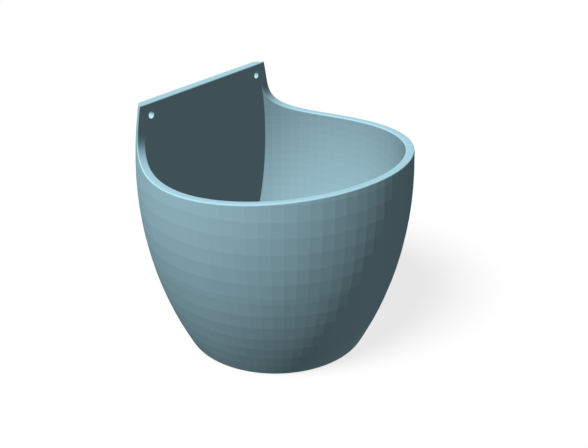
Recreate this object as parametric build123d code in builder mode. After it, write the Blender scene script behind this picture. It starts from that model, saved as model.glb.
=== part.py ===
"""Hanging wall vase: one thin shell that is a round bowl in front and a flat plate at the back.

The outside is a surface of revolution whose side is a single arc. A plane cuts it flat where it lies
against the wall. The inside follows the outside at an even wall thickness and ends at the flat plate.
The rim is one sweeping curve: it falls gently from the front lip, is lowest beside the bowl, then
turns up until it is upright and goes on as the front of the plate. The edges that a hand meets are
rounded, and the edges against the wall are sharp. Two screw holes near the plate's top carry it.

Millimetres. +Z is up, the wall is the plane Y = 0 and the bowl stands out towards -Y. The origin is
midway between the two screw holes, on the wall.
"""
import os
from math import asin, degrees, sqrt

from build123d import *

# The outside
bowl_radius = 80.0  # at the belly, the widest ring
belly_height = 103.5  # of the widest ring above the foot
side_arc_radius = 225.0  # of the one arc that draws the side
lip_height = 122.3  # of the front lip above the foot
back_rise = 27.2  # of the plate's top above the front lip
axis_to_wall = 53.8  # from the bowl's own axis to the wall

# The walls
shell_thickness = 5.0  # all round the bowl
floor_thickness = 5.0  # under the hollow
back_thickness = 5.2  # of the flat plate behind the hollow
upper_setback = 0.1  # how much thinner the plate is above the hollow, where the rim's sweep ends

# The rim's sweep, seen from the side: straight down the plate's front, then a curve out to the lip
upright_rise = 15.3  # above the lip, the height where the curve begins to leave the plate's front
upright_drop = 3.1  # below the lip, the height on the plate's front that the curve is aimed at there
pull_drop = 14.3  # below the lip, the height on the plate's front that pulls the curve down

# The rounded edges
rim_round = 0.8
foot_round = 1.8
floor_round = 6.0  # inside, between the floor and the wall
round_limit_share = 0.45  # of a wall's thickness, the most that a rounding of its edge may take

# The screw holes
screw_hole_radius = 2.1
screw_drop = 7.0  # from the plate's top to the middle of the holes
screw_inset = 6.0  # from the plate's side edge, at the wall, to the middle of each hole

# How far every cutting body runs past what it cuts
overrun = 10.0

# What follows from the sizes
upper_thickness = back_thickness - upper_setback
back_height = lip_height + back_rise
screw_height = back_height - screw_drop
foot_z = -screw_height
lip_y = -axis_to_wall - bowl_radius
arc_centre = (bowl_radius - side_arc_radius, belly_height)
screw_ring_radius = arc_centre[0] + sqrt(side_arc_radius**2 - (screw_height - belly_height) ** 2)
screw_spacing = 2 * (sqrt(screw_ring_radius**2 - axis_to_wall**2) - screw_inset)
bowl_plane = Plane(origin=(0, -axis_to_wall, foot_z), x_dir=(1, 0, 0), z_dir=(0, -1, 0))
bowl_axis = Axis((0, -axis_to_wall, foot_z), (0, 0, 1))


def half_section(arc_radius, low, high, corner_round):
    """Return the section between the bowl's axis and an arc about arc_centre, from low to high.

    The corner where the arc meets the bottom line is rounded.
    """
    low_angle = degrees(asin((low - belly_height) / arc_radius))
    high_angle = degrees(asin((high - belly_height) / arc_radius))
    with BuildSketch() as section:
        with BuildLine():
            side = CenterArc(arc_centre, arc_radius, low_angle, high_angle - low_angle)
            Polyline(side @ 1, (0, high), (0, low), side @ 0)
        make_face()
        fillet(section.vertices().group_by(Axis.Y)[0].sort_by(Axis.X)[-1], corner_round)
    return section.sketch


# The hollow: the side's arc drawn again one wall further in, flat where the plate stands
with BuildPart() as hollow:
    with BuildSketch(bowl_plane):
        add(half_section(side_arc_radius - shell_thickness, floor_thickness, back_height + overrun, floor_round))
    revolve(axis=bowl_axis)
    split(bisect_by=Plane.XZ.offset(back_thickness), keep=Keep.TOP)

with BuildPart() as vase_body:
    # The solid outside, cut flat against the wall, with the hollow taken out
    with BuildSketch(bowl_plane):
        add(half_section(side_arc_radius, 0, back_height, foot_round))
    revolve(axis=bowl_axis)
    split(bisect_by=Plane.XZ, keep=Keep.TOP)
    add(hollow.part, mode=Mode.SUBTRACT)

    # The rim's sweep: all that stands above the curve and in front of it is cut away
    with BuildSketch(Plane.YZ.offset(-bowl_radius - overrun)):
        with BuildLine():
            sweep_curve = Bezier(
                (-upper_thickness, foot_z + lip_height + upright_rise),
                (-upper_thickness, foot_z + lip_height - upright_drop),
                (-upper_thickness, foot_z + lip_height - pull_drop),
                (lip_y, foot_z + lip_height),
            )
            past_lip = sweep_curve @ 1 + (sweep_curve % 1) * overrun
            Polyline(
                sweep_curve @ 1,
                past_lip,
                (past_lip.X, foot_z + back_height + overrun),
                (-upper_thickness, foot_z + back_height + overrun),
                sweep_curve @ 0,
            )
        make_face()
    extrude(amount=2 * (bowl_radius + overrun), mode=Mode.SUBTRACT)

    # The roundings run along both edges of the rim and round the plate's top
    rim_face = faces().filter_by(GeomType.EXTRUSION)[0]
    upper_front = faces().filter_by(Axis.Y).sort_by(Axis.Z)[-1]
    top_face = faces().filter_by(Axis.Z).sort_by(Axis.Z)[-1]
    inside, outside = faces().filter_by(GeomType.REVOLUTION).sort_by(SortBy.AREA)[-2:]
    front_edges = rim_face.edges() + upper_front.edges()
    rim_edges = front_edges & (outside.edges() + inside.edges() + top_face.edges())
    top_end_edges = top_face.edges() & outside.edges()
    round_limit = round_limit_share * min(shell_thickness, upper_thickness)
    fillet(rim_edges + top_end_edges, min(rim_round, round_limit))

    # The two screw holes go straight through the plate
    with Locations(Plane.XZ):
        with GridLocations(screw_spacing, 0, 2, 1):
            Hole(screw_hole_radius, back_thickness + overrun)

vase_body.part.label = "vase_body"

os.makedirs("parts", exist_ok=True)
export_step(vase_body.part, "parts/vase_body.step")
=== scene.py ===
# %% [markdown]
# # A hanging wall vase
#
# The vase is one thin plastic shell: a round bowl in front and a flat plate with two screw holes at the
# back. Its sides are a net of small flat panels, which catch the light one by one, while its rim is
# softly rounded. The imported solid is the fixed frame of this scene. The new mesh keeps its sizes and
# stands in its place, in the same space. Where a shape differs from the solid's, its cell says so.

import bmesh
import bpy
import numpy as np
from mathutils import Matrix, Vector


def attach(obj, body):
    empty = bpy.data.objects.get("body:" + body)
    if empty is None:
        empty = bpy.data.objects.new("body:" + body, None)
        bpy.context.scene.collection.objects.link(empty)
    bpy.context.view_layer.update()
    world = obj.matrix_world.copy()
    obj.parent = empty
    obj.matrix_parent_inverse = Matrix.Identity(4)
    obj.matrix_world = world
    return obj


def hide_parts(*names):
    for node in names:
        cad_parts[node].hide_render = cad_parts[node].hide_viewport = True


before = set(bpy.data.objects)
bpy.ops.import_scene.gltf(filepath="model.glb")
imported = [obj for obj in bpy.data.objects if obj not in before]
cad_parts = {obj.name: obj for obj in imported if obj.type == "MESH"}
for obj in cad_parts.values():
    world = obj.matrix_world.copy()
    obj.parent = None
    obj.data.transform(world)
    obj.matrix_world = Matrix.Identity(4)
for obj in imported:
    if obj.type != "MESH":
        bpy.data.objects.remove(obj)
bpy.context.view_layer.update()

# %% [markdown]
# ## The sizes
#
# A maker draws a vase like this as one arc for the side, swung round the bowl's axis, and one sweeping
# line for the rim, seen from the side. These numbers are the solid's own, in millimetres. Heights are
# counted from the foot, y runs towards the wall, and angles go round the axis from the front.

# %% Sizes of the shell
FOOT = -142.5  # seen from the scene's own zero, which is midway between the screw holes
AXIS_TO_WALL, AXIS_TO_HOLLOW_BACK = 53.8, 48.6
BOWL_RADIUS, BELLY_HEIGHT, ARC_RADIUS = 80.0, 103.5, 225.0
LIP_HEIGHT, TOP_HEIGHT = 122.3, 149.5
WALL, FLOOR = 5.0, 5.0
print("the bowl is", 2 * BOWL_RADIUS, "mm wide and the plate", TOP_HEIGHT, "mm tall")

# %% [markdown]
# ## The side
#
# Outside and inside are the same arc, drawn twice, one wall apart. It could be drawn as a curve and spun,
# but later steps ask for the side's radius and direction at any height. So both are functions, and as
# they take whole arrays, a grid of points is one call.


# %% The side's arc
def side_radius(height, depth=0.0):
    """Radius of the side, set back by a depth: the root of the arc's squared radius less the squared
    height over the belly, plus where the arc's centre lies from the axis."""
    return BOWL_RADIUS - ARC_RADIUS + np.sqrt((ARC_RADIUS - depth) ** 2 - (height - BELLY_HEIGHT) ** 2)


def side_normal(angle, height, depth):
    """The side's outward direction: it leans by the height over the belly, over the arc's radius."""
    lean = (height - BELLY_HEIGHT) / (ARC_RADIUS - depth)
    return np.stack([np.sqrt(1 - lean**2) * np.sin(angle), -np.sqrt(1 - lean**2) * np.cos(angle),
                     lean + 0 * angle], -1)


print("the side is", round(float(side_radius(0.0)), 1), "mm from the axis at the foot")

# %% [markdown]
# ## Flat panels
#
# Round the axis the side isn't truly round. It is made of flat panels, and each one takes the light as
# one tone. A smooth turned shell would hide them, and one turned in few steps would have no points
# between two columns, where the rim needs some. So the round radius is shortened a little towards each
# panel's middle, which draws a straight line from column to column however many points lie between. The
# solid has the round that the panels stand for.

# %% Panels round the axis
PANEL = np.radians(4.706)
NUDGE = 1e-9  # a point on the line between two panels always counts to the next one


def flatness(angle):
    """The share of the round radius that a flat panel leaves: the cosine of half a panel over the cosine
    of the angle from the panel's middle."""
    return np.cos(PANEL / 2) / np.cos(np.mod(angle + NUDGE, PANEL) - PANEL / 2)


def round_axis(radius, angle, height):
    """The point at a radius, an angle and a height: x is the radius times the sine, and y is the radius
    times the cosine, in front of the axis."""
    radius, angle, height = np.broadcast_arrays(radius, angle, height)
    return np.stack([radius * np.sin(angle), -AXIS_TO_WALL - radius * np.cos(angle), height], -1)


inset = BOWL_RADIUS * (1 - float(flatness(PANEL / 2)))
print("a panel's middle lies", round(inset, 3), "mm inside the round")

# %% [markdown]
# ## The rows of panels
#
# From foot to rim the panels stand in rows. Inside, the rows are even. Outside they grow taller from the
# foot upwards, with one narrow row halfway. A formula could give the even ones but not the others, so
# the heights of the lines between the rows are listed for both.

# %% Heights between the rows
OUTER_ROWS = [3.3, 8.3, 16.0, 23.9, 32.3, 41.1, 50.0, 58.8, 62.6, 71.7, 80.8, 90.1, 99.5, 108.6, 117.8,
              127.0, 136.2, 145.4, 154.6]
INNER_ROWS = [16.2, 21.6, 27.0, 32.4, 37.7, 43.1, 48.5, 53.8, 59.2, 64.6, 69.9, 75.3, 80.7, 86.1, 91.4,
              96.8, 102.2, 107.5, 112.9, 118.3, 123.6, 129.0, 134.4]
print(len(OUTER_ROWS), "lines between the rows outside and", len(INNER_ROWS), "inside")

# %% [markdown]
# ## The walls
#
# A wall is a list of rows from the middle of its base upwards: the base, a rounded corner, and then the
# panels. Between two rows the radius runs straight. Outside and inside could be written out one after
# the other, but they are made alike and are asked the same things, so one class serves both.

# %% Both walls as rows
FOOT_ROUND, FLOOR_ROUND, CORNER_POINTS = 1.8, 6.0, 8
REPEATS = 40  # of a search that puts its answer right in turn, far more than it needs
TINY = 1e-6  # millimetres, too little to tell two places apart


class Wall:
    """One skin of the shell: its rows' heights and radii, and how far each row is panelled. The base's
    rounded corner is an arc about a centre that stands its own radius above the base."""

    def __init__(self, depth, base, corner, panel_rows, back):
        self.depth, self.back = depth, back
        middle = side_radius(base + corner, depth + corner)
        top = np.arcsin((base + corner - BELLY_HEIGHT) / (ARC_RADIUS - depth - corner))
        turns = np.linspace(-np.pi / 2, top, CORNER_POINTS)
        if middle < back:  # one row more, where the corner passes the flat back
            turns = np.sort(np.append(turns, -np.arccos((back - middle) / corner)))
        radii = middle + corner * np.cos(turns)
        share = np.where(radii > back + TINY, (turns + np.pi / 2) / (top + np.pi / 2), 0)
        self.soft = len(turns)
        self.heights = np.concatenate([[base], base + corner + corner * np.sin(turns), panel_rows])
        self.radii = np.concatenate([[0], radii, side_radius(np.array(panel_rows), depth)])
        self.share = np.concatenate([[0], share, np.ones(len(panel_rows))])

    def at(self, height, angle):
        """A point of the panelled wall: the radius run straight to the height, times the flatness."""
        radius = np.interp(height, self.heights[self.soft:], self.radii[self.soft:])
        return round_axis(radius * flatness(angle), angle, height)

    def row(self, j, angle):
        """Row j at some angles: its radius, less the row's share of what the flat panels take off."""
        return round_axis(self.radii[j] * (1 + self.share[j] * (flatness(angle) - 1)), angle,
                          self.heights[j])

    def end(self, row):
        """The angle at which a row reaches the flat back: the cosine there is the back's distance over
        the radius, found in turn because the radius follows from the angle."""
        angle = 3.0  # any start near the back will do
        for _ in range(REPEATS):
            point = row(angle)
            radius = max(np.hypot(point[0], point[1] + AXIS_TO_WALL), TINY)
            angle = np.arccos(-min(self.back / radius, 1))
        return angle


outside = Wall(0, 0, FOOT_ROUND, OUTER_ROWS, AXIS_TO_WALL)
inside = Wall(WALL, FLOOR, FLOOR_ROUND, INNER_ROWS, AXIS_TO_HOLLOW_BACK)
print("rows outside:", len(outside.heights), "inside:", len(inside.heights))

# %% [markdown]
# ## The rim's sweep
#
# Seen from the side, the rim runs straight down the plate's front and leaves it in one curve that ends
# at the front lip. Everything above this line is cut away. A Boolean modifier could make that cut, but
# its faces along the rim would be long and ragged. So the line is a formula here, and the walls are made
# to end at it. The curve is a Bezier one, as in any drawing program. Three of its four points lie on the
# plate's front, so it leaves the plate without a kink.

# %% The sweep seen from the side
HOLLOW_BACK = AXIS_TO_HOLLOW_BACK - AXIS_TO_WALL
UPPER_SETBACK = 0.07  # how much thinner the plate is above the hollow, which is 0.1 in the solid
PLATE_FRONT = HOLLOW_BACK + UPPER_SETBACK

# The first point lies 3.4 mm higher than in the solid, the next 0.4 mm lower and the third 0.2 higher
SWEEP = np.array([[PLATE_FRONT, 141.0], [PLATE_FRONT, 118.8], [PLATE_FRONT, 108.2],
                  [-AXIS_TO_WALL - BOWL_RADIUS, LIP_HEIGHT]])


def sweep(t):
    """The rim seen from the side, as (y, height): each of the four points times its Bezier weight. Below
    zero it goes on straight up from the first point, as fast as the curve starts."""
    t = np.asarray(t)[..., None]
    curve = ((1 - t) ** 3 * SWEEP[0] + 3 * t * (1 - t) ** 2 * SWEEP[1] + 3 * t**2 * (1 - t) * SWEEP[2]
             + t**3 * SWEEP[3])
    return np.where(t < 0, SWEEP[0] + 3 * t * (SWEEP[1] - SWEEP[0]), curve)


def sweep_normal(t):
    """The cut's outward direction: the curve's own direction, turned by a quarter towards the room."""
    t = np.maximum(np.asarray(t)[..., None], 0)
    along = ((1 - t) ** 2 * (SWEEP[1] - SWEEP[0]) + 2 * t * (1 - t) * (SWEEP[2] - SWEEP[1])
             + t**2 * (SWEEP[3] - SWEEP[2]))
    along = along / np.linalg.norm(along, axis=-1, keepdims=True)
    return np.stack([0 * along[..., 0], along[..., 1], -along[..., 0]], -1)


T_ABOVE_TOP, T_PAST_LIP, FINE_POINTS = -0.216, 1.03, 24001
t_fine = np.linspace(T_ABOVE_TOP, T_PAST_LIP, FINE_POINTS)
T_HOLLOW = t_fine[np.argmax(sweep(t_fine)[:, 0] < HOLLOW_BACK - TINY)]
print("the hollow's flat back ends", round(float(sweep(T_HOLLOW)[1]), 1), "mm above the foot")

# %% [markdown]
# ## A ball that rolls along the rim
#
# Both of the rim's edges are rounded. A Bevel modifier could do that, but it pinches where an edge turns
# and runs out. A ball that rolls in the corner between the side and the cut has its centre where both,
# each set back by the ball's radius, cross. It touches the side at one line and the cut at another, and
# the arc between them is the rounded edge. Round the bowl the corner is close to a right angle. Beside
# the plate it is little more than half as wide, and there the ball shrinks just so much that the
# rounding stays as wide as it is round the bowl. The solid keeps one radius all along.

# %% The rolling ball
RIM_ROUND = 0.8
BALL_DEPTH = 0.42  # in radii, the room that the inner edge's ball needs before the hollow's flat back


def corner_width(t):
    """The tangent of half the corner between the side and the cut: the root of one plus the product of
    their two outward directions, over one less it."""
    across, height = sweep(t)[..., 0] + AXIS_TO_WALL, sweep(t)[..., 1]
    angle = np.arccos(np.clip(-across / side_radius(height), -1, 1))
    product = (side_normal(angle, height, 0) * sweep_normal(t)).sum(-1)
    return np.sqrt((1 + product) / (1 - product))


def rolling_ball(t, wall):
    """The ball's radius, centre and angle. The outer edge's ball is as large as the rounding's width times
    the tangent of half the corner, over that of a right one. The inner edge's fades, by one less the
    falling exponential of the room left, where that edge runs out in the hollow's flat back. The centre
    is the curve's point less the radius times the cut's normal, and x is what the side's radius, set back
    too, leaves over y."""
    room = np.maximum(HOLLOW_BACK - sweep(t)[..., 0], 0) / BALL_DEPTH
    into = 1 if wall is outside else -1
    radius = RIM_ROUND * (corner_width(t) if into > 0 else 1 - np.exp(-room / RIM_ROUND))
    y, height = np.moveaxis(sweep(t) - radius[..., None] * sweep_normal(t)[..., 1:], -1, 0)
    across = y + AXIS_TO_WALL
    x = np.sqrt(np.maximum(side_radius(height, wall.depth + into * radius) ** 2 - across**2, 0))
    return radius, np.stack([x, y, height], -1), np.arctan2(x, -across)


ball_radius, ball_centre, _ = rolling_ball(t_fine, outside)
ball_height = ball_centre[:, 2]
print("the ball's radius runs from", ball_radius.min().round(2), "to", ball_radius.max().round(2), "mm")

# %% [markdown]
# ## The rim's stations
#
# The mesh needs the same points wherever two surfaces meet, so the rim is divided once, into stations,
# and the walls and the edges all use them. Round the bowl a station stands at every quarter of a
# panel's width, so that some of them fall on the lines between the panels.

# %% Stations round the bowl
BOWL_PANELS, STEPS_PER_PANEL = 26, 4
BOWL_ANGLES = np.arange(BOWL_PANELS * STEPS_PER_PANEL + 1) * PANEL / STEPS_PER_PANEL


def stations_at(angles, wall):
    """Curve values at which the ball stands at the angles: its y is the axis less its reach times the
    cosine, and the reach follows from y again, so both are put right in turn."""
    t = t_fine[t_fine >= T_HOLLOW]
    radius, centre, _ = rolling_ball(t, wall)
    into = 1 if wall is outside else -1
    reach = side_radius(centre[:, 2], wall.depth + into * radius)
    ahead = AXIS_TO_WALL + BOWL_RADIUS * np.cos(angles)
    for _ in range(REPEATS):
        ahead = AXIS_TO_WALL + np.interp(ahead, -centre[:, 1], reach) * np.cos(angles)
    return np.interp(ahead, -centre[:, 1], t)


outer_bowl_t, inner_bowl_t = stations_at(BOWL_ANGLES, outside), stations_at(BOWL_ANGLES, inside)
n_bowl = len(BOWL_ANGLES)
print(n_bowl, "stations round half the bowl")

# %% [markdown]
# ## Stations up the plate
#
# Beside the plate, where the rim turns upright, the angle hardly changes, so the stations climb in small
# steps of height instead. Three of them meet the rows of panels, nine frame the screw hole, and the last
# one is where the ball also touches the plate's top.

# %% Stations up the plate's edge
HOLE_X, HOLE_HEIGHT, HOLE_RADIUS = 48.52, 142.5, 2.1
HOLE_GRID = np.linspace(-4.3, 4.3, 9)  # the rows and columns round the hole, from its middle
BEND_POINTS, HOLLOW_POINTS = 14, 6  # to the top of the hollow's flat back, and on to the hole's frame
STEEP = t_fine < 0.45  # the part beside the plate, where each height comes once


def climbing(heights, curve_heights):
    """The curve values of some heights on the steep part, read off the finely divided curve."""
    return np.interp(-np.asarray(heights), -curve_heights[STEEP], t_fine[STEEP])


T_TOP = climbing(TOP_HEIGHT, ball_height + ball_radius)
END_ROUND = float(rolling_ball(T_TOP, outside)[0])
lean = (ball_height - BELLY_HEIGHT) / (ARC_RADIUS - ball_radius)
row_t = climbing(OUTER_ROWS[-4:-1], ball_height + ball_radius * lean)
hole_t = climbing(HOLE_HEIGHT + HOLE_GRID, sweep(t_fine)[:, 1])
plate_t = np.sort(np.concatenate([
    np.linspace(outer_bowl_t[-1], T_HOLLOW, BEND_POINTS)[1:],
    np.linspace(T_HOLLOW, hole_t[0], HOLLOW_POINTS)[1:-1], row_t, hole_t, [T_TOP]]))[::-1]
HOLLOW_STEP = int(np.argmin(abs(plate_t - T_HOLLOW)))
HOLE_STEPS = [int(np.argmin(abs(plate_t - t))) for t in (hole_t[0], hole_t[-1])]
OUTER_T = np.concatenate([outer_bowl_t, plate_t])
INNER_T = np.concatenate([inner_bowl_t, np.linspace(inner_bowl_t[-1], T_HOLLOW, HOLLOW_STEP + 2)[1:]])
print(len(plate_t), "stations up the plate's edge, where the ball shrinks to", round(END_ROUND, 2), "mm")

# %% [markdown]
# ## The rounded edges
#
# At each station the rounding is an arc about the ball's centre, turned evenly from the side's outward
# direction to the cut's. Its first point is pulled onto the flat panel below it, which lies a few
# hundredths of a millimetre inside the true round, so that panel and edge close without a step.

# %% Arcs from the side to the cut
ARC = np.linspace(0, 1, 7)[:, None]  # shares of the way along


def turn(start, end, share):
    """The direction at a share of the way between two: each one times the sine of its share of the
    angle between them, over the sine of that angle."""
    angle = np.arccos(np.clip((start * end).sum(-1, keepdims=True), -1, 1))
    return (np.sin((1 - share) * angle) * start + np.sin(share * angle) * end) / np.sin(angle)


def rounded_edge(t, wall):
    """One arc for each curve value: the ball's centre plus its radius times the turned direction, and
    the pull onto the panel, which fades along the arc. The bowl's balls stand at their stations' angles,
    where x is their reach times the sine."""
    radius, centre, angle = rolling_ball(t, wall)
    angle[:n_bowl] = BOWL_ANGLES
    centre[:, 0] = np.hypot(centre[:, 0], centre[:, 1] + AXIS_TO_WALL) * np.sin(angle)
    into = 1 if wall is outside else -1
    outward = into * side_normal(angle, centre[:, 2], wall.depth + into * radius)
    directions = turn(outward[:, None], sweep_normal(t)[:, None], ARC[None])
    arc = centre[:, None] + radius[:, None, None] * directions
    pull = wall.at(arc[:, 0, 2], angle) - arc[:, 0]
    return arc + (1 - ARC[None]) * pull[:, None], angle, centre, outward


outer_arcs, outer_angles, outer_centres, outer_normals = rounded_edge(OUTER_T, outside)
inner_arcs, inner_angles, _, _ = rounded_edge(INNER_T, inside)

# The inner edge's last arc shrinks to the one point where wall, cut and flat back meet
hollow_height = sweep(T_HOLLOW)[1]
inner_angles[-1] = inside.end(lambda angle: inside.at(hollow_height, angle))
inner_arcs[-1] = inside.at(hollow_height, inner_angles[-1])
print("the rim stands", round(float(outer_arcs[:, :, 2].min()), 1), "mm above the foot at its lowest")

# %% [markdown]
# ## Walls between base, rim and back
#
# Each wall is a grid of rows and columns. Under the rim's stations the rows stop at the rounding's first
# line, and beside the plate the columns stop at the flat back. Points that a stop holds back fall
# together, and the doubles are merged later, so the grid needs no trimming and its seams fit.


# %% Wall grids
def bowl_wall(wall, angles, rim_heights):
    """The part under the bowl's rim: every row at every station's angle, held down to the rim."""
    rows = [wall.row(j, angles) for j in range(wall.soft + 1)]
    for height in wall.heights[wall.soft + 1:]:
        rows.append(wall.at(np.minimum(height, rim_heights), angles))
    return np.array(rows)


def back_wall(wall, start, rim_height, arcs, arc_angles):
    """The part beside the plate: rows from the bowl's last column, and above it from the rounding, to
    the flat back. It returns the rows and the back's own edge."""
    columns = np.arange(np.ceil(start / PANEL), np.pi / PANEL) * PANEL
    columns = np.unique(np.concatenate([[start], columns, [np.pi]]))
    low = [j for j in range(len(wall.heights)) if wall.heights[j] < rim_height - TINY]
    rows = [lambda angle, j=j: wall.row(j, angle) for j in low]
    rows += [lambda angle, h=h: wall.at(h, angle) for h in [rim_height, *arcs[:, 0, 2]]]
    starts = [start] * (len(low) + 1) + list(arc_angles)
    grid = []
    for row, first in zip(rows, starts):
        last = wall.end(row)
        grid.append(row(np.append(np.clip(columns, first, last), last)))
    grid = np.array(grid)
    edge = grid[:, -1].copy()
    edge[:, 1] = np.where(edge[:, 0] > TINY, wall.back - AXIS_TO_WALL, edge[:, 1])
    grid[:, -1] = edge
    return grid, edge


outer_bowl = bowl_wall(outside, BOWL_ANGLES, outer_arcs[:n_bowl, 0, 2])
inner_bowl = bowl_wall(inside, BOWL_ANGLES, inner_arcs[:n_bowl, 0, 2])
outer_back, wall_edge = back_wall(outside, BOWL_ANGLES[-1], outer_arcs[n_bowl - 1, 0, 2],
                                  outer_arcs[n_bowl:], outer_angles[n_bowl:])
inner_back, hollow_edge = back_wall(inside, BOWL_ANGLES[-1], inner_arcs[n_bowl - 1, 0, 2],
                                    inner_arcs[n_bowl:], inner_angles[n_bowl:])
print("outer wall", outer_bowl.shape, outer_back.shape, "inner wall", inner_bowl.shape, inner_back.shape)

# %% [markdown]
# ## The rim's face and the plate's front
#
# Between its two roundings the rim is a narrow face, and beside the plate that face widens into the
# plate's whole front. Both follow the sweep, so both are made of points of the curve. The plate's grids
# use one set of columns, nine of which frame the screw hole.

# %% Rim strip, hollow back and plate front
COLUMN_STEP = 7.0
COLUMNS = np.append(np.arange(0, HOLE_X + HOLE_GRID[0], COLUMN_STEP), HOLE_X + HOLE_GRID)


def flat_face(edge):
    """Rows across a flat face: each one runs from the middle to its point of the edge, along the columns,
    which stop at that point."""
    x = np.append(np.minimum(COLUMNS, edge[:, :1]), edge[:, :1], axis=1)
    return np.stack([x, edge[:, 1:2] + 0 * x, edge[:, 2:] + 0 * x], -1)


# The strip goes from one rounding's last points to the other's in two steps, of curve value and of x
n_strip = n_bowl + HOLLOW_STEP + 1
strip_share = np.linspace(0, 1, 3)
strip_t = INNER_T[:n_strip, None] * (1 - strip_share) + OUTER_T[:n_strip, None] * strip_share
strip_x = inner_arcs[:, -1, 0, None] * (1 - strip_share) + outer_arcs[:n_strip, -1, 0, None] * strip_share
rim_strip = np.concatenate([strip_x[..., None], sweep(strip_t)], -1)

# The hollow's flat back, and the plate's front above it, whose last columns carry on the strip
hollow_back = flat_face(hollow_edge[abs(hollow_edge[:, 1] - HOLLOW_BACK) < TINY])
upper_t = plate_t[HOLLOW_STEP:]
upper_end = outer_arcs[n_bowl + HOLLOW_STEP:, -1, 0]
last_share = (rim_strip[-1, :, 0] - COLUMNS[-1]) / (upper_end[0] - COLUMNS[-1])
upper_x = np.concatenate([np.tile(COLUMNS, (len(upper_t), 1)),
                          COLUMNS[-1] + last_share * (upper_end[:, None] - COLUMNS[-1])], 1)
upper_front = np.concatenate([upper_x[..., None], np.broadcast_to(
    sweep(upper_t)[:, None], upper_x.shape + (2,))], -1)
print("rim strip", rim_strip.shape, "hollow back", hollow_back.shape, "plate front", upper_front.shape)

# %% [markdown]
# ## The plate's rounded top
#
# The top's front edge and its two ends are rounded too. Three roundings that simply ended where they
# meet would leave a notch. So at each corner, where the upright edge, the front edge and the end edge
# meet, the same ball stands still, and its own surface, turned towards all three faces, is the corner.
# The front edge's rounding narrows to that ball over the last few millimetres.

# %% Top, corner and end
UP = np.array([0.0, 0.0, 1.0])
NARROWING = 6.0  # the length over which the front's rounding narrows

# The rounding grows from the corner by the share of that length, times two less the share
from_end = np.clip((upper_x[-1, -1] - upper_x[-1]) / NARROWING, 0, 1)
front_round = END_ROUND + (RIM_ROUND - END_ROUND) * from_end * (2 - from_end)
upper_front[-1, :, 2] = TOP_HEIGHT - front_round
top_front = front_round[:, None, None] * turn(sweep_normal(T_TOP), UP, ARC)[None] + np.stack(
    [upper_x[-1], PLATE_FRONT + front_round, TOP_HEIGHT - front_round], -1)[:, None]

# The corner: directions turned from the side to the front, and from there up, times the ball's radius
corner_centre = outer_centres[-1]
corner_pull = outer_arcs[-1, 0] - corner_centre - END_ROUND * outer_normals[-1]
fan = turn(turn(outer_normals[-1], sweep_normal(T_TOP), ARC)[:, None], UP, ARC[None])
corner = corner_centre + END_ROUND * fan + (1 - ARC[:, None]) * (1 - ARC[None]) * corner_pull

# The end's rounding where it meets the wall, about a centre on the side set back by the ball's radius
end_normal = side_normal(np.arctan2(wall_edge[-1, 0], -AXIS_TO_WALL), corner_centre[2], END_ROUND)
end_arc = END_ROUND * turn(end_normal, UP, ARC)
reach = side_radius(corner_centre[2], END_ROUND)
end_arc[:, 0] += np.sqrt(reach**2 - (AXIS_TO_WALL - end_arc[:, 1]) ** 2)
end_arc[:, 1] = 0
end_arc[:, 2] += corner_centre[2]
end_arc += (1 - ARC) * (wall_edge[-1] - end_arc[0])
print("the front's rounding narrows from", front_round[0].round(2), "to", front_round[-1].round(2), "mm")

# %% [markdown]
# ## From the top to the wall
#
# The rounded end and the top's flat face both run from the corner back to the wall. They share the
# columns that the outer wall's last row already has there, so their seams fit.

# %% Top's end, top face and plate back
end_share = 1 - outer_back[-1, :, 1] / outer_back[-1, 0, 1]
top_end = corner[0] + end_share[:, None, None] * (end_arc - corner[0])
top_end += (1 - ARC) * (outer_back[-1] - top_end[:, 0])[:, None]
wall_line = end_arc[-1] + 0 * top_front[:, -1]
wall_line[:, 0] = np.minimum(upper_x[-1], end_arc[-1, 0])
top_face = top_front[:, -1] + end_share[:, None, None] * (wall_line - top_front[:, -1])

# The whole back that lies against the wall, up to the rounded end of the top
plate_back = flat_face(np.concatenate([wall_edge[abs(wall_edge[:, 1]) < TINY], end_arc[1:]]))
print("top end", top_end.shape, "top face", top_face.shape, "plate back", plate_back.shape)

# %% [markdown]
# ## The screw holes
#
# A hole can be cut with a Boolean modifier, but that leaves long thin triangles. Here the squares inside
# the hole's frame are left out, rings of points lead from the frame to the hole's circle, and a short
# tube joins front and back. Two rows of the tube stand close to its ends, so that the shading inside
# stays even.

# %% Rings and tubes
HOLE_COLUMNS = [len(COLUMNS) - len(HOLE_GRID), len(COLUMNS) - 1]
TUBE_ROWS = np.array([0, 0.05, 0.95, 1])  # shares of the way from front to back


def screw_frame(grid, rows):
    """The frame round a screw hole, in order: along one row, up one column, back along the other row and
    down the other column."""
    (low, high), (left, right) = rows, HOLE_COLUMNS
    return np.concatenate([grid[low, left:right], grid[low:high, right], grid[high, right:left:-1],
                           grid[high:low:-1, left], grid[low, left:left + 1]])


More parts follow.
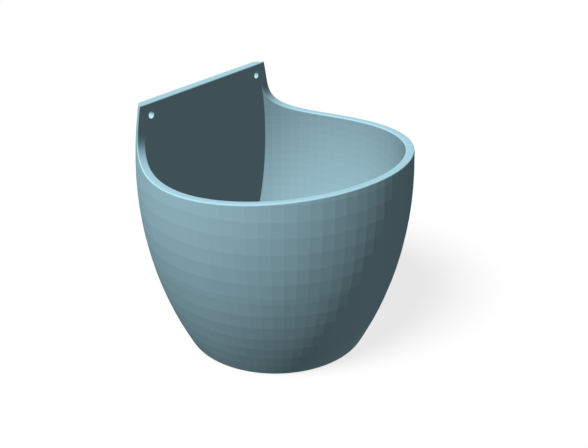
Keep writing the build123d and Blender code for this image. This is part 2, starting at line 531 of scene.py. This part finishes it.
front_rows = [step - HOLLOW_STEP for step in HOLE_STEPS]
back_rows = [len(plate_back) - len(end_arc[1:]) - len(plate_t) + step for step in HOLE_STEPS]
front_frame = screw_frame(upper_front, front_rows)
back_frame = screw_frame(plate_back, back_rows)
around = np.arctan2(front_frame[:, 2] - HOLE_HEIGHT, front_frame[:, 0] - HOLE_X)
circle_height = HOLE_HEIGHT + HOLE_RADIUS * np.sin(around)
circle_y = sweep(climbing(circle_height, sweep(t_fine)[:, 1]))[:, 0]
front_circle = np.stack([HOLE_X + HOLE_RADIUS * np.cos(around), circle_y, circle_height], -1)
back_circle = front_circle * [1, 0, 1]
front_ring = np.stack([front_frame, (front_frame + front_circle) / 2, front_circle])
back_ring = np.stack([back_frame, (back_frame + back_circle) / 2, back_circle])
screw_tube = front_circle + TUBE_ROWS[:, None, None] * (back_circle - front_circle)
print("the hole's frame runs from", front_frame[:, 2].min().round(2), "to",
      front_frame[:, 2].max().round(2), "mm above the foot")

# %% [markdown]
# ## Faces from grids
#
# Every patch so far is a grid of points, and here the grids become faces. Curved edges are shaded smooth
# and panels flat. Each point also gets a mark: one in the middle of a rounded edge and inside the screw
# holes, and zero on the walls. The material later paints a highlight by it, a lighter colour there.


# %% Faces and marks of every patch
def faces_of(grid, soft=False, left_out=None, edge=0.0):
    """Points, squares, smooth marks and edge marks of a grid, the last for a painted highlight: square i, j
    joins the points i, j to i + 1, j + 1. The squares left out are given as two rows and two columns."""
    high, wide = grid.shape[:2]
    first = np.arange(high * wide).reshape(high, wide)
    keep = np.ones((high - 1, wide - 1), bool)
    if left_out:
        (low, top), (left, right) = left_out
        keep[low:top, left:right] = False
    squares = np.stack([first[:-1, :-1], first[:-1, 1:], first[1:, 1:], first[1:, :-1]], -1)
    marks = np.zeros(keep.shape, bool)
    marks[soft if isinstance(soft, slice) else slice(None)] = soft is not False
    return grid.reshape(-1, 3), squares[keep], marks[keep], (grid[..., 0] * 0 + edge).ravel()


outer_soft, inner_soft = slice(1, outside.soft), slice(1, inside.soft)
hump = 4 * ARC[:, 0] * (1 - ARC[:, 0])  # one in a rounding's middle and zero at both its lines
corner_hump = np.maximum(hump[:, None] * (1 - ARC[:, 0]), hump[None])
tube_mark = np.array([0, 1, 1, 0])[:, None]  # one on the two rows inside the tube
patches = [
    faces_of(outer_bowl, outer_soft), faces_of(outer_back, outer_soft),
    faces_of(inner_bowl, inner_soft), faces_of(inner_back, inner_soft),
    faces_of(outer_arcs, True, edge=hump), faces_of(inner_arcs, True, edge=hump), faces_of(rim_strip, True),
    faces_of(hollow_back), faces_of(upper_front, True, (front_rows, HOLE_COLUMNS)),
    faces_of(top_front, True, edge=hump), faces_of(corner, True, edge=corner_hump),
    faces_of(top_end, True, edge=hump), faces_of(top_face),
    faces_of(plate_back, False, (back_rows, HOLE_COLUMNS)),
    faces_of(front_ring), faces_of(back_ring),
    faces_of(screw_tube, True, edge=tube_mark),
]
print(len(patches), "patches with", sum(len(patch[1]) for patch in patches), "squares in the right half")

# %% [markdown]
# ## One closed shell
#
# The left half is the right one with x turned round. A Mirror modifier would do the same, but both halves
# are wanted in one mesh before its doubles are merged, which closes all seams and the two poles at once.
# The volume is measured at the end: it tells at once if a patch is missing or inside out, and it comes
# close to the solid's own.

# %% Mirror, merge and measure
METRE = 1000  # millimetres, as the mesh is in metres
SAME_PLACE, NO_LENGTH = 3e-6, 1e-7  # metres: nearer points are one, and shorter edges are none

points, squares, marks, edges, count = [], [], [], [], 0
for mirror in (1, -1):
    for patch_points, patch_squares, patch_marks, patch_edges in patches:
        points.append(patch_points * [mirror, 1, 1])
        squares.append(patch_squares + count)
        marks.append(patch_marks)
        edges.append(patch_edges)
        count += len(patch_points)
points = (np.concatenate(points) + [0, 0, FOOT]) / METRE
squares, marks, edges = np.concatenate(squares), np.concatenate(marks), np.concatenate(edges)

shell = bpy.data.meshes.new("vase_shell")
shell.from_pydata(points.tolist(), [], squares.tolist())
shell.polygons.foreach_set("use_smooth", marks)
# The edge marks become a point attribute, by which the material paints a highlight on rounded edges and in
# the holes
shell.attributes.new("painted_highlight_edge", "FLOAT", "POINT").data.foreach_set("value", edges)
work = bmesh.new()
work.from_mesh(shell)
bmesh.ops.remove_doubles(work, verts=work.verts, dist=SAME_PLACE)
bmesh.ops.dissolve_degenerate(work, edges=work.edges, dist=NO_LENGTH)
bmesh.ops.recalc_face_normals(work, faces=work.faces)
open_edges = sum(not edge.is_manifold for edge in work.edges)
volume = work.calc_volume(signed=True) * METRE**3
work.to_mesh(shell)
work.free()
vase = bpy.data.objects.new("vase_shell", shell)
bpy.context.scene.collection.objects.link(vase)
print(len(shell.polygons), "faces,", open_edges, "open edges, volume", round(volume), "cubic mm")

# %% [markdown]
# ## Shader maths as expressions
#
# A material is a net of nodes, and wiring them one by one hides the idea. One small class wraps a socket,
# so that sums and products can be written as they are thought, and one method makes any other node.


# %% A socket that does sums
class Value:
    """A node's output. Sums, differences and products of values add Math nodes."""

    def __init__(self, tree, socket):
        self.tree, self.socket = tree, socket

    def node(self, kind, settings=None, output=0, **sockets):
        """Any other node: its type, its settings, which are set first, and its sockets' values. An
        underscore stands for a space, and in front it stands before a socket's number."""
        made = self.tree.nodes.new(kind)
        for name, setting in (settings or {}).items():
            setattr(made, name, setting)
        for name, value in sockets.items():
            key = int(name[1:]) if name[0] == "_" else name.replace("_", " ")
            if isinstance(value, Value):
                self.tree.links.new(value.socket, made.inputs[key])
            else:
                made.inputs[key].default_value = value
        return Value(self.tree, made.outputs[output])

    def sum_node(self, operation, first, second):
        """One Math node of two values or numbers."""
        return self.node("ShaderNodeMath", {"operation": operation}, _0=first, _1=second)

    def __add__(self, other):
        return self.sum_node("ADD", self, other)

    def __sub__(self, other):
        return self.sum_node("SUBTRACT", self, other)

    def __rsub__(self, other):
        return self.sum_node("SUBTRACT", other, self)

    def __mul__(self, other):
        return self.sum_node("MULTIPLY", self, other)

    __radd__, __rmul__ = __add__, __mul__


print("sockets can be added, subtracted and multiplied")

# %% [markdown]
# ## A new material
#
# Each material needs the same few things at first. They could be made again for each one, but a helper
# gives them a single place: the tree of nodes, its shader, and the object's own coordinates, in which a
# grain keeps its size and its place.


# %% An empty material
def new_material(name):
    """A material, its tree of nodes, the one shader in it, and the object's own coordinates."""
    material = bpy.data.materials.new(name)
    material.use_nodes = True
    tree = material.node_tree
    shader = tree.nodes["Principled BSDF"]
    place = Value(tree, tree.nodes.new("ShaderNodeTexCoord").outputs["Object"])
    return material, tree, shader, place


print("a material starts with a Principled shader and the object's own coordinates")

# %% [markdown]
# ## Matte blue plastic
#
# The real vase looks like one matt light blue plastic all through. One plain colour would nearly do, so
# what is added is faint, and all of it is guessed: a cloudiness of the colour, a grain with about 2.6
# grains to a millimetre, and a painted highlight, a lighter shade on rounded edges and in the holes. The
# first two are noise in the object's own space, so they stay put when the camera moves. An image could give
# them too, but it would have to be unwrapped onto the bowl. The painted highlight reads the mark that each
# point of the mesh carries.
#
# The gloss is turned off, because with it these lamps would lay a sheen over the panels. The roughness
# wanders a little too, which can't be seen until somebody turns the gloss up.

# %% The plastic
CLOUDS, SPECKS, GRAINS = 38.0, 900.0, 2600.0  # how many of each lie along a metre
DEEP_BLUE, LIGHT_BLUE = (0.400, 0.664, 0.768, 1), (0.436, 0.710, 0.814, 1)
PAINTED_HIGHLIGHT_BLUE = (0.485, 0.792, 0.908, 1)  # a painted highlight, on the rounded edges and in the holes


def matte_plastic():
    """Base colour: two near blues mixed by broad soft noise, then mixed by the edge's mark with a lighter
    one, a painted highlight. Roughness: a half, plus a little noise, less a little on the edges. Normal: a
    bump of fine grain, 0.06 mm high at its full strength, of which it has about an eighth."""
    material, tree, shader, place = new_material("matte_blue_plastic")
    cloud = place.node("ShaderNodeTexNoise", Vector=place, Scale=CLOUDS, Detail=2.0)
    grain = place.node("ShaderNodeTexNoise", Vector=place, Scale=GRAINS, Detail=2.0)
    speck = place.node("ShaderNodeTexNoise", Vector=place, Scale=SPECKS, Detail=1.0)
    colour = place.node("ShaderNodeMix", {"data_type": "RGBA"}, 2, _0=cloud * 0.6 + speck * 0.4,
                        _6=DEEP_BLUE, _7=LIGHT_BLUE)
    # The edge's mark paints a highlight: a lighter blue on the rounded edges and inside the holes
    edge = place.node("ShaderNodeAttribute", {"attribute_name": "painted_highlight_edge"}, "Fac")
    colour = place.node("ShaderNodeMix", {"data_type": "RGBA"}, 2, _0=edge, _6=colour, _7=PAINTED_HIGHLIGHT_BLUE)
    bump = place.node("ShaderNodeBump", Strength=0.12, Distance=0.00006, Height=grain * 0.7 + speck * 0.3)
    roughness = 0.5 + cloud * 0.14 + speck * 0.06 - edge * 0.12
    tree.links.new(colour.socket, shader.inputs["Base Color"])
    tree.links.new(roughness.socket, shader.inputs["Roughness"])
    tree.links.new(bump.socket, shader.inputs["Normal"])
    shader.inputs["Specular IOR Level"].default_value = 0.0
    return material


shell.materials.append(matte_plastic())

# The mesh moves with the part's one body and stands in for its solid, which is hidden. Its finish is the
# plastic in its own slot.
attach(vase, "root")
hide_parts("vase_body")
print("material:", shell.materials[0].name)

# %% [markdown]
# ## The studio's floor
#
# A plain pale floor takes a soft shadow. A floor that is simply painted white would light the vase from
# below as soon as light may bounce. This one looks white by a shine that only camera, mirror and glass
# rays see, and for all other rays it is a dark floor.


# %% Floor
FLOOR_HALF, FLOOR_GAP = 6.0, 0.0002  # metres: half its width, and how far it lies under the foot


def white_to_camera(rays):
    """One for camera, mirror and glass rays and zero for all others: the sum of the three marks."""
    return rays.node("ShaderNodeLightPath", None, "Is Camera Ray") \
        + rays.node("ShaderNodeLightPath", None, "Is Glossy Ray") \
        + rays.node("ShaderNodeLightPath", None, "Is Transmission Ray")


def studio_floor():
    """A square of floor under the foot. To the camera it shines a little under white and adds its lamp's
    light, less the shadow. To every other ray it is a dark floor."""
    mesh = bpy.data.meshes.new("studio_floor")
    size, height = FLOOR_HALF, FOOT / METRE - FLOOR_GAP
    mesh.from_pydata([(-size, -size, height), (size, -size, height), (size, size, height),
                      (-size, size, height)], [], [(0, 1, 2, 3)])
    floor = bpy.data.objects.new("studio_floor", mesh)
    bpy.context.scene.collection.objects.link(floor)
    material, tree, shader, place = new_material("pale_floor")
    material.cycles.emission_sampling = "NONE"
    seen = white_to_camera(place)
    white = seen.node("ShaderNodeEmission", Color=(1, 1, 1, 1), Strength=0.80)
    shaded = seen.node("ShaderNodeBsdfDiffuse", Color=(0.30, 0.30, 0.30, 1))
    pale = seen.node("ShaderNodeAddShader", _0=white, _1=shaded)
    dark = seen.node("ShaderNodeBsdfDiffuse", Color=(0.02, 0.02, 0.02, 1))
    mixed = seen.node("ShaderNodeMixShader", _0=seen, _1=dark, _2=pale)
    tree.nodes.remove(shader)
    tree.links.new(mixed.socket, tree.nodes["Material Output"].inputs["Surface"])
    mesh.materials.append(material)
    return floor


floor = studio_floor()
print("the floor lies", round(METRE * FLOOR_GAP, 1), "mm under the foot")

# %% [markdown]
# ## The lamps
#
# The vase is lit so evenly that it throws no shadow on itself, not even inside the bowl. Real studios do
# that with large white screens on all sides. Here a few lamps without shadows stand for them: three up on
# the left, close together, which act as one broad screen, a weak one below that lifts the shaded side,
# and one behind, which lights nothing that the front view sees. Each panel then takes one clean tone from
# its direction alone. Light that bounces from wall to wall is left out for the same reason. The floor has
# a lamp of its own, and that one throws a shadow.


# %% Lamps
def sun(name, towards, strength, lit, softness=0.0):
    """A lamp so far away that its light is even: it shines along the opposite of the direction given, on
    one object alone. Only a soft one throws a shadow."""
    lamp = bpy.data.lights.new(name, "SUN")
    lamp.energy, lamp.angle, lamp.use_shadow = strength, np.radians(softness), softness > 0
    holder = bpy.data.objects.new(name, lamp)
    holder.rotation_euler = Vector(towards).to_track_quat("Z", "Y").to_euler()
    bpy.context.scene.collection.objects.link(holder)
    lights = bpy.data.collections.new(name + "_lights")
    lights.objects.link(lit)
    holder.light_linking.receiver_collection = lights


sun("upper_left", (-0.606, 0.076, 0.791), 2.014, vase)
sun("upper_left_back", (-0.471, 0.264, 0.841), 0.924, vase)
sun("upper_front", (-0.257, -0.319, 0.912), 0.670, vase)
sun("below", (0.156, -0.229, -0.961), 0.710, vase)
sun("behind", (0.750, 0.500, -0.430), 0.400, vase)
sun("floor_lamp", (-0.560, 0.048, 0.827), 2.6, floor, softness=25)
bpy.context.scene.cycles.diffuse_bounces = 0

# %% [markdown]
# ## The room and the camera
#
# Past the floor's edge a camera sees the world, which is as white as the floor and lights the vase just
# as little. A white wall behind the vase would do for one picture, but it would stand in the way of a
# camera that goes round. The camera here stands well to the left of the front and looks down into the
# bowl, through a lens of about 50 mm, as in a plain product picture.


# %% World and camera
def white_room():
    """A world that is white where a ray of the camera, a mirror or glass leaves the scene, and dark for
    all others, so that it adds no light to the vase."""
    world = bpy.data.worlds.new("white_room")
    world.use_nodes = True
    world.cycles.sampling_method = "NONE"
    background = world.node_tree.nodes["Background"]
    background.inputs["Color"].default_value = (1, 1, 1, 1)
    seen = white_to_camera(Value(world.node_tree, background.outputs[0]))
    world.node_tree.links.new(seen.socket, background.inputs["Strength"])
    bpy.context.scene.world = world


def look_from(place, target, lens):
    """A camera at a place in millimetres, turned upright along the line from there to the target."""
    camera = bpy.data.cameras.new("camera")
    camera.lens, camera.sensor_width, camera.clip_start = lens, 36.0, 0.01
    holder = bpy.data.objects.new("camera", camera)
    holder.location = Vector(place) / METRE
    holder.rotation_euler = (Vector(target) - Vector(place)).to_track_quat("-Z", "Y").to_euler()
    bpy.context.scene.collection.objects.link(holder)
    bpy.context.scene.camera = holder


white_room()
look_from(place=(-368.9, -316.1, 144.2), target=(6.0, -62.7, -72.6), lens=51.18)
bpy.context.scene.view_settings.view_transform = "Standard"
print("camera lens:", round(bpy.context.scene.camera.data.lens, 2), "mm")
